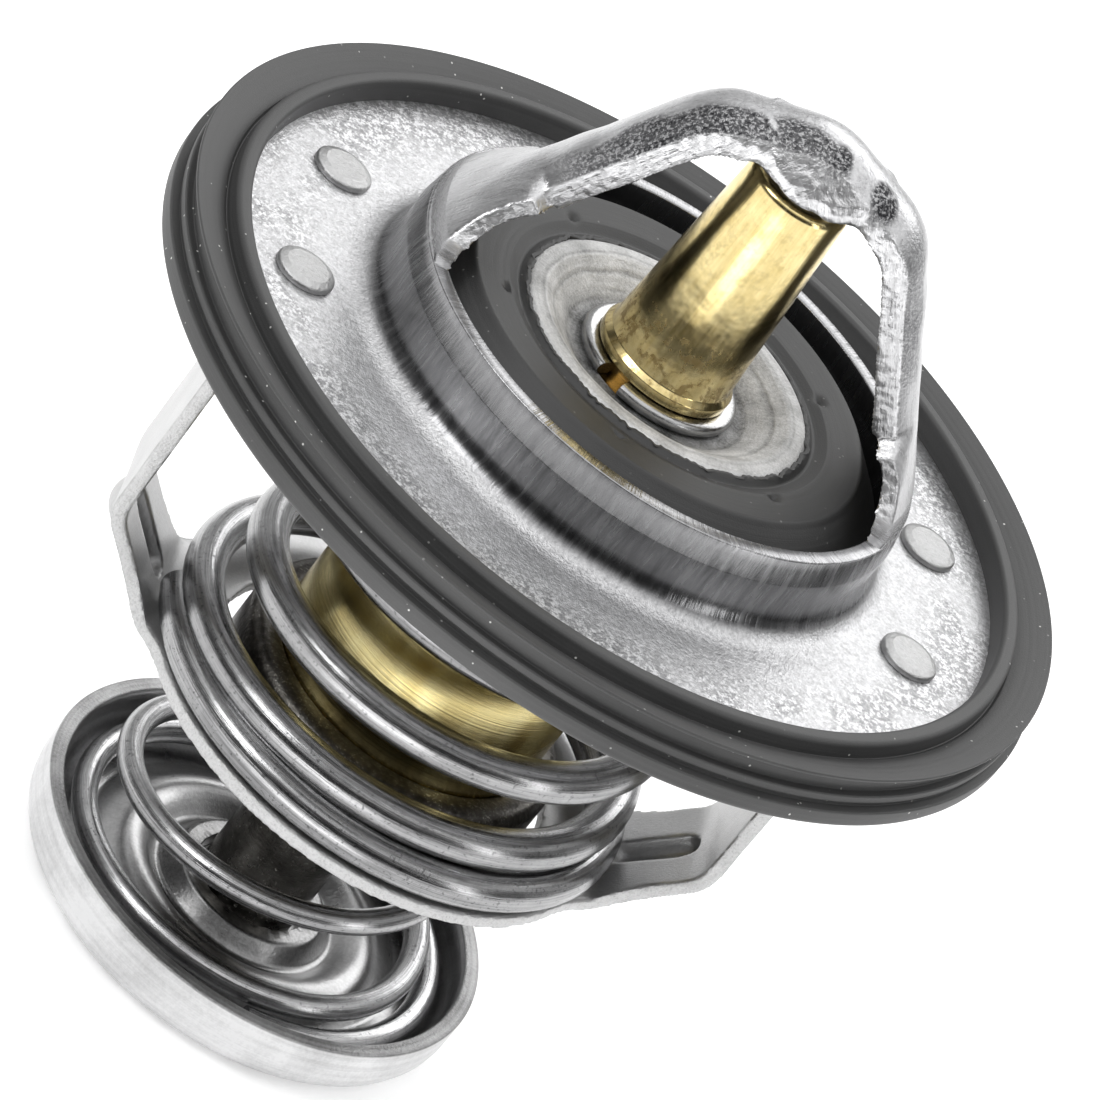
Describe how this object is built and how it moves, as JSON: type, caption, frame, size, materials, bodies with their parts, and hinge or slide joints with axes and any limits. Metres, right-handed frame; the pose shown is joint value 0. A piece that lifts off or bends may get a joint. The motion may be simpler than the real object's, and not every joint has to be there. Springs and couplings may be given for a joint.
{
  "type": "engine thermostat",
  "caption": "Wax-pellet coolant thermostat with a rubber seal ring, bridge, main valve on a spring, strap frame and a small sprung bypass dish below.",
  "frame": {"origin": "middle of the bypass dish's underside, on the valve's axis", "axes": "+Z along the valve's axis towards the bridge's crown; the bridge and the strap legs lie along X"},
  "size_m": [0.067, 0.067, 0.075],
  "materials": {
    "pressed_steel": "satin zinc-bright pressing",
    "seal_rubber": "moulded satin rubber",
    "frame_steel": "satin pressing with sheared edges",
    "rivet_steel": "satin",
    "piston_steel": "ground",
    "spring_steel": "drawn wire, grey",
    "disc_steel": "frosted",
    "valve_rubber": "moulded satin rubber",
    "ring_steel": "stamped spring steel",
    "guide_brass": "turned, bright",
    "dark_steel": "dark, oily",
    "wax": "copper-filled wax",
    "soft_rubber": "plain",
    "hard_plastic": "plain",
    "stem_steel": "turned",
    "thin_spring_steel": "drawn wire, bright",
    "dish_steel": "satin pressing"
  },
  "bodies": {
    "housing": {"flange_bridge": "pressed_steel", "seal_ring": "seal_rubber", "lower_frame": "frame_steel", "frame_rivets": "rivet_steel", "piston": "piston_steel", "main_spring": "spring_steel"},
    "valve": {"valve_disc": "disc_steel", "valve_rubber": "valve_rubber", "snap_ring": "ring_steel", "guide_body": "guide_brass", "element_cup": "dark_steel", "wax_charge": "wax", "diaphragm": "soft_rubber", "rubber_plug": "soft_rubber", "piston_washer": "hard_plastic", "bypass_stem": "stem_steel", "bypass_clip": "ring_steel", "bypass_spring": "thin_spring_steel"},
    "bypass": {"bypass_dish": "dish_steel"}
  },
  "joints": [
    {"name": "main_valve_lift", "type": "slide", "parent": "housing", "child": "valve", "axis": [0, 0, -1], "range_m": [0, 0.008], "stiffness_N_per_m": 5500, "springref_m": -0.018, "deforming": ["main_spring"]},
    {"name": "bypass_slide", "type": "slide", "parent": "valve", "child": "bypass", "axis": [0, 0, 1], "range_m": [0, 0.006], "stiffness_N_per_m": 3500, "springref_m": -0.006, "deforming": ["bypass_spring"]}
  ]
}
